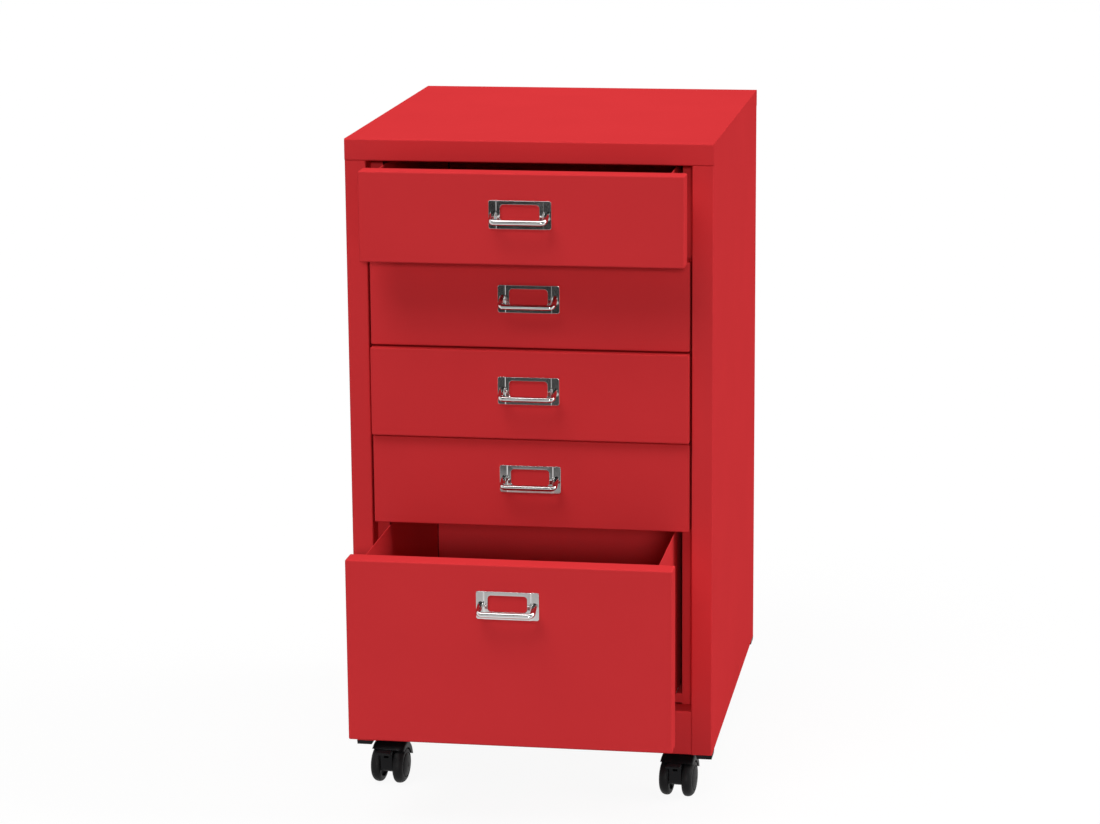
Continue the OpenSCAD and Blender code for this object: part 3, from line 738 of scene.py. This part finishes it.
def build_feet():
    feet = copy_of_node("corner_feet", "corner_feet_moulded")
    edge = 0.6 * MM
    round_edges(feet, edge, segments=3, angle=30)
    smooth(feet, angle=35)
    finish(feet, "black_plastic", "casing", "corner_feet")


# ---------------------------------------------------------------- drawers


def build_front(sheet, number):
    """A tray that faces backwards, folded at every edge."""
    node = f"drawer_{number}_front"
    low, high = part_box(node)
    r = sheet.bend_radius
    front = begin_box(f"{node}_tray", low, high)
    bpy.ops.mesh.select_all(action="SELECT")
    bevel(r, BEND_STEPS)
    inset = high.x - r - sheet.opening_side
    large = 1000 * MM * MM
    pick(front, "FACE", lambda face: face.normal.y > 0.99 and face.calc_area() > large)
    bpy.ops.mesh.inset(thickness=inset)
    inner_top, inner_low = high.z - r - inset, low.z + r + inset

    def on_opening(v):
        return near(v.co.y, high.y) and abs(v.co.x) < sheet.opening_side + MM

    pick(front, "VERT", lambda v: on_opening(v) and near(v.co.z, inner_top))
    bpy.ops.transform.translate(value=(0, 0, high.z - sheet.opening_top - inner_top))
    pick(front, "VERT", lambda v: on_opening(v) and near(v.co.z, inner_low))
    bpy.ops.transform.translate(value=(0, 0, low.z + sheet.opening_low - inner_low))
    pick(front, "FACE", lambda face: all(on_opening(v) for v in face.verts) and face.calc_area() > large)
    bpy.ops.mesh.delete(type="FACE")
    thicken(front, sheet.drawer_t)
    round_edges(front, sheet.cut_edge)
    smooth(front)
    finish(front, "red_sheet", f"drawer_{number}", node)


def build_tub(sheet, number):
    """Folded tub, open at the top and, between its rear folds, at the back."""
    node = f"drawer_{number}_tub"
    low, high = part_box(node)
    tub = begin_box(f"{node}_sheet", low, high)
    pick(tub, "FACE", lambda face: face.normal.z > 0.9 or face.normal.y > 0.9)
    bpy.ops.mesh.delete(type="FACE")
    for side in (low.x, high.x):
        pick(tub, "EDGE", lambda edge: all(near(v.co.x, side) and near(v.co.y, high.y) for v in edge.verts))
        push((math.copysign(sheet.tub_fold, -side), 0, 0))

    def is_bend(edge):
        a, b = (v.co for v in edge.verts)
        upright = near(a.x, b.x) and near(a.y, b.y) and abs(abs(a.x) - high.x) < SLACK
        on_floor = near(a.z, low.z) and near(b.z, low.z)
        at_back = near(a.y, high.y) and near(b.y, high.y)
        return upright or on_floor and not at_back

    pick(tub, "EDGE", is_bend)
    bend = 1.3 * MM
    bevel(bend, BEND_STEPS)
    thicken(tub, sheet.drawer_t)
    round_edges(tub, sheet.cut_edge)
    only(tub)
    bpy.ops.object.mode_set(mode="EDIT")
    # Painted shade: the tub is cut along the slits at its rear corners, and their faces are marked so that the
    # coat is painted darker there, for the shadow in each slit.
    slice_across(-sheet.seam_to, -sheet.seam_from, sheet.seam_from, sheet.seam_to)
    smooth(tub)
    seam = tub.data.attributes.new("seam", "FLOAT", "FACE")
    for face in tub.data.polygons:
        inside = sheet.seam_from < abs(face.center.x) < sheet.seam_to
        seam.data[face.index].value = float(inside and face.center.y > high.y - MM)
    finish(tub, "red_sheet", f"drawer_{number}", node)


def pull_plate(pull, low, high, y0):
    """Plate with a raised, windowed middle. The plate's back is at y0."""
    plate = begin_box("pull_plate", (low.x, y0 - pull.plate_t, low.z), (high.x, y0, high.z))
    pick(plate, "EDGE", lambda edge: crosses(edge, pull.plate_t / 2))
    bevel(pull.plate_corner, segments=6)
    crease = 0.9 * MM
    side = pull.raise_side
    slice_across(-side - crease, -side, side, side + crease)
    pick(plate, "VERT", lambda v: abs(v.co.x) < side + SLACK and near(v.co.y, y0 - pull.plate_t))
    bpy.ops.transform.translate(value=(0, -pull.raise_t, 0))
    top = high.z - pull.window_drop
    bottom = top - pull.window_height
    half = pull.window_width / 2
    through = 5 * MM
    window = begin_box("pull_window", (-half, y0 - through, bottom), (half, y0 + through, top))
    pick(window, "EDGE", lambda edge: crosses(edge, through))
    bevel(pull.window_corner, segments=8)
    inner, pocket_depth, label_margin = side - 1.5 * MM, 0.9 * MM, 2.5 * MM
    pocket = begin_box(
        "pull_pocket", (-inner, y0 - pocket_depth, bottom - label_margin), (inner, y0 + MM, high.z + MM)
    )
    cut(plate, window)
    cut(plate, pocket)
    edge = 0.5 * MM
    round_edges(plate, edge, segments=3, angle=30)
    return plate


def grip_bar(pull, root):
    """Round bar bent to a U: a leg, a bend, the grip, a bend and a leg. root is the middle between the
    legs' roots, on the plate's back."""
    slope = pull.leg_slope
    leg = Vector((0, -math.cos(slope), -math.sin(slope)))
    hinge = Vector((0, math.sin(slope), -math.cos(slope)))
    sideways = Vector((pull.bar_half, 0, 0))
    run_in = 4 * MM
    start = Vector(root) + sideways - leg * run_in
    deselect()
    bpy.ops.mesh.primitive_circle_add(
        vertices=28, radius=pull.bar_radius, location=start, rotation=(math.pi / 2 + slope, 0, 0)
    )
    bar = begin("grip_bar")
    straight = pull.leg_length - pull.bend
    bpy.ops.mesh.select_all(action="SELECT")
    push(leg * (straight + run_in))
    centre = Vector(root) + sideways + leg * straight - Vector((pull.bend, 0, 0))
    bpy.ops.mesh.spin(steps=10, angle=-math.pi / 2, center=centre, axis=hinge)
    push((2 * (pull.bend - pull.bar_half), 0, 0))
    centre.x = -centre.x
    bpy.ops.mesh.spin(steps=10, angle=-math.pi / 2, center=centre, axis=hinge)
    push(leg * -(straight + run_in))
    bpy.ops.mesh.select_all(action="SELECT")
    bpy.ops.mesh.remove_doubles(threshold=MERGE)
    bpy.ops.mesh.bisect(
        plane_co=(0, root[1] - pull.plate_t / 2, 0), plane_no=(0, 1, 0), clear_outer=True, use_fill=True
    )
    bpy.ops.mesh.select_all(action="SELECT")
    bpy.ops.mesh.normals_make_consistent(inside=False)
    return bar


def build_pulls(pull):
    """One pull is modelled on the top drawer and copied to the others."""
    place = {}
    for number in DRAWERS:
        face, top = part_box(f"drawer_{number}_front")[0].y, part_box(f"drawer_{number}_pull")[1].z
        place[number] = Vector((0, face, top))
    low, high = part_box("drawer_1_pull")
    plate = pull_plate(pull, low, high, place[1].y)
    bar = grip_bar(pull, (0, place[1].y, high.z - pull.leg_drop))
    master = join("pull_master", [plate, bar])
    smooth(master, angle=50)
    for number in DRAWERS:
        node = f"drawer_{number}_pull"
        copy = copy_to(master, f"{node}_chromed", Matrix.Translation(place[number] - place[1]))
        finish(copy, "chrome", f"drawer_{number}", node)
    bpy.data.objects.remove(master)


# ---------------------------------------------------------------- casters


def wheel_master(caster):
    """A wheel on the +X side of an axle through the origin."""
    gap, width, radius = caster.wheel_gap, caster.wheel_width, caster.wheel_radius
    outer = gap + width
    deselect()
    bpy.ops.mesh.primitive_cylinder_add(
        vertices=caster.sides, radius=radius, depth=width, location=(gap + width / 2, 0, 0),
        rotation=(0, math.pi / 2, 0),
    )
    wheel = begin("wheel_master")
    pick(wheel, "EDGE", lambda edge: all(near(v.co.x, outer) for v in edge.verts))
    bevel(caster.outer_shoulder, segments=7)
    pick(wheel, "EDGE", lambda edge: all(near(v.co.x, gap) for v in edge.verts))
    bevel(caster.inner_shoulder, segments=5)
    pick(wheel, "FACE", lambda face: face.normal.x > 0.99 and near(face.calc_center_median().x, outer))
    groove_and_dome_mm = (
        (0.7, 0.0), (0.25, -0.7), (0.5, 0.0), (0.25, 0.75), (0.3, 0.25), (2.0, 0.62), (2.6, 0.5),
        (3.0, 0.34), (2.2, 0.1), (0.4, -0.35), (0.3, 0.0), (0.4, 0.3), (0.3, 0.06),
    )
    for thickness, depth in groove_and_dome_mm:
        bpy.ops.mesh.inset(thickness=thickness * MM, depth=depth * MM)
    pick(wheel, "FACE", lambda face: face.normal.x < -0.99 and near(face.calc_center_median().x, gap))
    hub, rim, slope, draft, sink = 5.5 * MM, 2 * MM, MM, 0.4 * MM, 3 * MM
    floor_r = radius - caster.inner_shoulder - rim - slope
    for thickness, depth in (
        (rim, 0), (slope, -sink), (floor_r - hub, 0), (draft, sink), (hub - draft - caster.bore_radius, 0),
    ):
        bpy.ops.mesh.inset(thickness=thickness, depth=depth)
    push((caster.bore_end - gap, 0, 0))
    smooth(wheel, angle=32)
    return wheel


def build_wheels(caster):
    master = wheel_master(caster)
    for name in CASTERS:
        for side in "ab":
            node = f"{name}_wheel_{side}"
            joint = JOINTS[f"{node}_spin"]
            turn = math.atan2(joint["axis"][1], joint["axis"][0]) + (math.pi if side == "a" else 0)
            place = Matrix.Translation(joint["pos_m"]) @ Matrix.Rotation(turn, 4, "Z")
            wheel = copy_to(master, f"{node}_moulded", place)
            finish(wheel, "black_tread", node, node)
    bpy.data.objects.remove(master)


def build_housings(caster):
    for name in CASTERS:
        node = f"{name}_housing"
        housing = copy_of_node(node, f"{node}_moulded")
        round_edges(housing, caster.edge, angle=35)
        smooth(housing)
        finish(housing, "black_plastic", f"{name}_caster", node)


def build_levers(caster):
    for name in BRAKED:
        node = f"{name}_brake_lever"
        lever = copy_of_node(node, f"{node}_moulded")
        round_edges(lever, caster.edge, segments=3, angle=30)
        smooth(lever)
        finish(lever, "black_plastic", node, node)


# ---------------------------------------------------------------- carried-over parts


def dress_nodes():
    """Gives each CAD node the finish of its slot."""
    for part in frame["record"]["subparts"]:
        node = frame["nodes"][part["node"]]
        for slot in node.material_slots:
            slot.material = bpy.data.materials[FINISHES[part["material_slot"]]]


# ---------------------------------------------------------------- stage


def seen_by_camera(tree, share):
    """A mask of the rays that show the background: straight to the camera, in a reflection or through
    glass."""
    rays = tree.nodes.new("ShaderNodeLightPath")
    mask = rays.outputs["Is Camera Ray"]
    for name in ("Is Glossy Ray", "Is Transmission Ray"):
        either = tree.nodes.new("ShaderNodeMath")
        either.operation = "MAXIMUM"
        tree.links.new(mask, either.inputs[0])
        tree.links.new(rays.outputs[name], either.inputs[1])
        mask = either.outputs[0]
    scaled = tree.nodes.new("ShaderNodeMath")
    scaled.operation = "MULTIPLY"
    scaled.inputs[1].default_value = share
    tree.links.new(mask, scaled.inputs[0])
    return scaled.outputs[0]


def mix_shaders(tree, mask, first, second):
    """A mix of two shaders, by a mask."""
    mix = tree.nodes.new("ShaderNodeMixShader")
    tree.links.new(mask, mix.inputs["Fac"])
    tree.links.new(first, mix.inputs[1])
    tree.links.new(second, mix.inputs[2])
    return mix.outputs[0]


def build_world(stage):
    world = bpy.data.worlds.new("studio")
    bpy.context.scene.world = world
    world.use_nodes = True
    tree = world.node_tree
    tree.nodes.clear()
    result = tree.nodes.new("ShaderNodeOutputWorld")
    sky, white = (tree.nodes.new("ShaderNodeBackground") for _ in range(2))
    for node, level in ((sky, stage.sky), (white, 1.0)):
        node.inputs["Color"].default_value = (1, 1, 1, 1)
        node.inputs["Strength"].default_value = level
    seen = mix_shaders(tree, seen_by_camera(tree, 1.0), sky.outputs[0], white.outputs[0])
    tree.links.new(seen, result.inputs["Surface"])


def build_floor(stage):
    """White paper floor, clear from below."""
    deselect()
    bpy.ops.mesh.primitive_plane_add(size=stage.floor_size, location=(0, 0, 0))
    floor = bpy.context.object
    floor.name = floor.data.name = "studio_floor"
    tree, shader = new_material("floor_paper", specular=0.0)
    seen = blend_colours(tree, seen_by_camera(tree, 1.0), stage.floor, stage.floor_seen)
    tree.links.new(seen, shader.inputs["Base Color"])
    shader.inputs["Roughness"].default_value = MATT
    white = tree.nodes.new("ShaderNodeEmission")
    paper = mix_shaders(tree, seen_by_camera(tree, stage.paper), shader.outputs[0], white.outputs[0])
    side = tree.nodes.new("ShaderNodeNewGeometry")
    clear = tree.nodes.new("ShaderNodeBsdfTransparent")
    result = next(node for node in tree.nodes if node.type == "OUTPUT_MATERIAL")
    either_side = mix_shaders(tree, side.outputs["Backfacing"], paper, clear.outputs[0])
    tree.links.new(either_side, result.inputs["Surface"])
    floor.data.materials.append(bpy.data.materials["floor_paper"])


def build_card(stage):
    """Card on the floor on the camera's side and a dark screen above it. The card is painted light near the middle
    and dark far off: painted shade and a painted falloff of light for an unlit studio round the floor. They only
    show in reflections."""
    depth, width = stage.card_depth, stage.card_width
    deselect()
    bpy.ops.mesh.primitive_plane_add(size=1, location=(0, -stage.card_near - depth / 2, MM))
    bpy.context.object.scale = (width, depth, 1)
    floor_card = begin("studio_card")
    deselect()
    bpy.ops.mesh.primitive_plane_add(
        size=1, location=(0, -stage.screen_near, (stage.screen_low + stage.screen_high) / 2),
        rotation=(math.pi / 2, 0, 0),
    )
    bpy.context.object.scale = (width, stage.screen_high - stage.screen_low, 1)
    screen = begin("studio_screen")
    card = join("studio_card", [floor_card, screen])
    tree, shader = new_material("card_paint", specular=0.0)
    place = tree.nodes.new("ShaderNodeTexCoord")
    axes = tree.nodes.new("ShaderNodeSeparateXYZ")
    tree.links.new(place.outputs["Object"], axes.inputs[0])
    # Painted falloff of light: dark far off, lighter towards the fold, and light from the fold to the near edge.
    dim = tuple(stage.card_gain * value for value in stage.card)
    far, fold = -stage.card_far, -stage.card_middle
    shade = blend_colours(tree, ramp(tree, axes.outputs["Y"], far, fold), stage.card, dim)
    at_fold = ramp(tree, axes.outputs["Y"], fold - stage.card_fold, fold + stage.card_fold)
    shade = blend_colours(tree, at_fold, shade, stage.card_light)
    tree.links.new(shade, shader.inputs["Base Color"])
    shader.inputs["Roughness"].default_value = MATT
    card.data.materials.append(bpy.data.materials["card_paint"])
    for ray in ("camera", "diffuse", "transmission", "volume_scatter", "shadow"):
        setattr(card, f"visible_{ray}", False)


def soft_sun(name, energy, towards, spread):
    lamp = bpy.data.objects.new(name, bpy.data.lights.new(name, "SUN"))
    lamp.data.energy = energy
    lamp.data.angle = spread
    lamp.rotation_euler = Vector(towards).to_track_quat("Z", "Y").to_euler()
    bpy.context.scene.collection.objects.link(lamp)


def build_camera_and_lamps(stage):
    for name in LAMPS:
        energy, towards, spread = (getattr(stage, name + end) for end in ("", "_from", "_spread"))
        soft_sun(f"{name}_lamp", energy, towards, spread)
    camera = bpy.data.objects.new("camera", bpy.data.cameras.new("camera"))
    camera.data.lens = stage.focal
    camera.data.sensor_fit = "HORIZONTAL"
    camera.data.sensor_width = 36.0
    camera.data.clip_end = 100.0
    camera.location = stage.camera_place
    camera.rotation_euler = Euler(stage.camera_turn)
    bpy.context.scene.collection.objects.link(camera)
    bpy.context.scene.camera = camera


# ---------------------------------------------------------------- operators


class CABINET_OT_finishes(Operator):
    """Make the materials and give them to the parts that stay as they are"""

    bl_idname = "cabinet.finishes"
    bl_label = "Finishes"

    def execute(self, context):
        scene = context.scene
        surface_grain()
        dust_specks()
        powder_coat(scene.cabinet_sheet)
        chrome_plate(scene.cabinet_pull)
        zinc_plate(scene.cabinet_pull)
        caster = scene.cabinet_caster
        moulded_plastic("black_nylon", tuple(caster.black), rough=0.42, specks=0.12)
        moulded_plastic("wheel_nylon", tuple(caster.tread), rough=0.5, specks=0.22)
        moulded_plastic("natural_nylon", tuple(caster.nylon), rough=0.5, specks=0.05)
        dress_nodes()
        return {"FINISHED"}


class CABINET_OT_top_cover(Operator):
    """Build the top cover"""

    bl_idname = "cabinet.top_cover"
    bl_label = "Top cover"

    def execute(self, context):
        build_top_cover(context.scene.cabinet_sheet)
        return {"FINISHED"}


class CABINET_OT_side_panels(Operator):
    """Build the two side panels with their posts"""

    bl_idname = "cabinet.side_panels"
    bl_label = "Side panels"

    def execute(self, context):
        for side in ("left", "right"):
            build_side_panel(context.scene.cabinet_sheet, side)
        return {"FINISHED"}


class CABINET_OT_base_pan(Operator):
    """Build the base pan with the rail under the lowest drawer"""

    bl_idname = "cabinet.base_pan"
    bl_label = "Base pan"

    def execute(self, context):
        build_base_pan(context.scene.cabinet_sheet)
        return {"FINISHED"}


class CABINET_OT_back_screws(Operator):
    """Build the screws of the back panel"""

    bl_idname = "cabinet.back_screws"
    bl_label = "Back panel screws"

    def execute(self, context):
        build_back_screws()
        return {"FINISHED"}


class CABINET_OT_feet(Operator):
    """Build the corner feet"""

    bl_idname = "cabinet.feet"
    bl_label = "Corner feet"

    def execute(self, context):
        build_feet()
        return {"FINISHED"}


class CABINET_OT_drawer_fronts(Operator):
    """Build the folded drawer fronts"""

    bl_idname = "cabinet.drawer_fronts"
    bl_label = "Drawer fronts"

    def execute(self, context):
        for number in DRAWERS:
            build_front(context.scene.cabinet_sheet, number)
        return {"FINISHED"}


class CABINET_OT_drawer_tubs(Operator):
    """Build the drawer tubs"""

    bl_idname = "cabinet.drawer_tubs"
    bl_label = "Drawer tubs"

    def execute(self, context):
        for number in DRAWERS:
            build_tub(context.scene.cabinet_sheet, number)
        return {"FINISHED"}


class CABINET_OT_pulls(Operator):
    """Build the label-holder pulls"""

    bl_idname = "cabinet.pulls"
    bl_label = "Pulls"

    def execute(self, context):
        build_pulls(context.scene.cabinet_pull)
        return {"FINISHED"}


class CABINET_OT_casters(Operator):
    """Build the caster housings, wheels and brake levers"""

    bl_idname = "cabinet.casters"
    bl_label = "Casters"

    def execute(self, context):
        caster = context.scene.cabinet_caster
        build_housings(caster)
        build_levers(caster)
        build_wheels(caster)
        return {"FINISHED"}


class CABINET_OT_stage(Operator):
    """Build the floor, the light and the camera"""

    bl_idname = "cabinet.stage"
    bl_label = "Stage"

    def execute(self, context):
        stage = context.scene.cabinet_stage
        context.scene.view_settings.view_transform = "Standard"
        build_world(stage)
        build_floor(stage)
        build_card(stage)
        build_camera_and_lamps(stage)
        return {"FINISHED"}


class CABINET_PT_main(Panel):
    """Sizes, colours and building steps of the cabinet"""

    bl_idname = "CABINET_PT_main"
    bl_label = "Roll container"
    bl_space_type = "VIEW_3D"
    bl_region_type = "UI"
    bl_category = "Cabinet"

    def draw(self, context):
        layout = self.layout
        for step in STEPS:
            layout.operator(step.bl_idname)
        for name, group in SETTINGS.items():
            box = layout.box()
            for label in group.__annotations__:
                box.prop(getattr(context.scene, name), label)


STEPS = (
    CABINET_OT_stage,
    CABINET_OT_finishes,
    CABINET_OT_top_cover,
    CABINET_OT_side_panels,
    CABINET_OT_base_pan,
    CABINET_OT_back_screws,
    CABINET_OT_feet,
    CABINET_OT_drawer_fronts,
    CABINET_OT_drawer_tubs,
    CABINET_OT_pulls,
    CABINET_OT_casters,
)
SETTINGS = {
    "cabinet_sheet": CABINET_PG_sheet,
    "cabinet_pull": CABINET_PG_pull,
    "cabinet_caster": CABINET_PG_caster,
    "cabinet_stage": CABINET_PG_stage,
}


def register():
    for cls in (*SETTINGS.values(), *STEPS, CABINET_PT_main):
        bpy.utils.register_class(cls)
    for name, group in SETTINGS.items():
        setattr(bpy.types.Scene, name, PointerProperty(type=group))


def unregister():
    for name in SETTINGS:
        delattr(bpy.types.Scene, name)
    for cls in reversed((*SETTINGS.values(), *STEPS, CABINET_PT_main)):
        bpy.utils.unregister_class(cls)


def main():
    """Builds everything."""
    register()
    for step in STEPS:
        family, name = step.bl_idname.split(".")
        getattr(getattr(bpy.ops, family), name)()


if __name__ == "__main__":
    main()
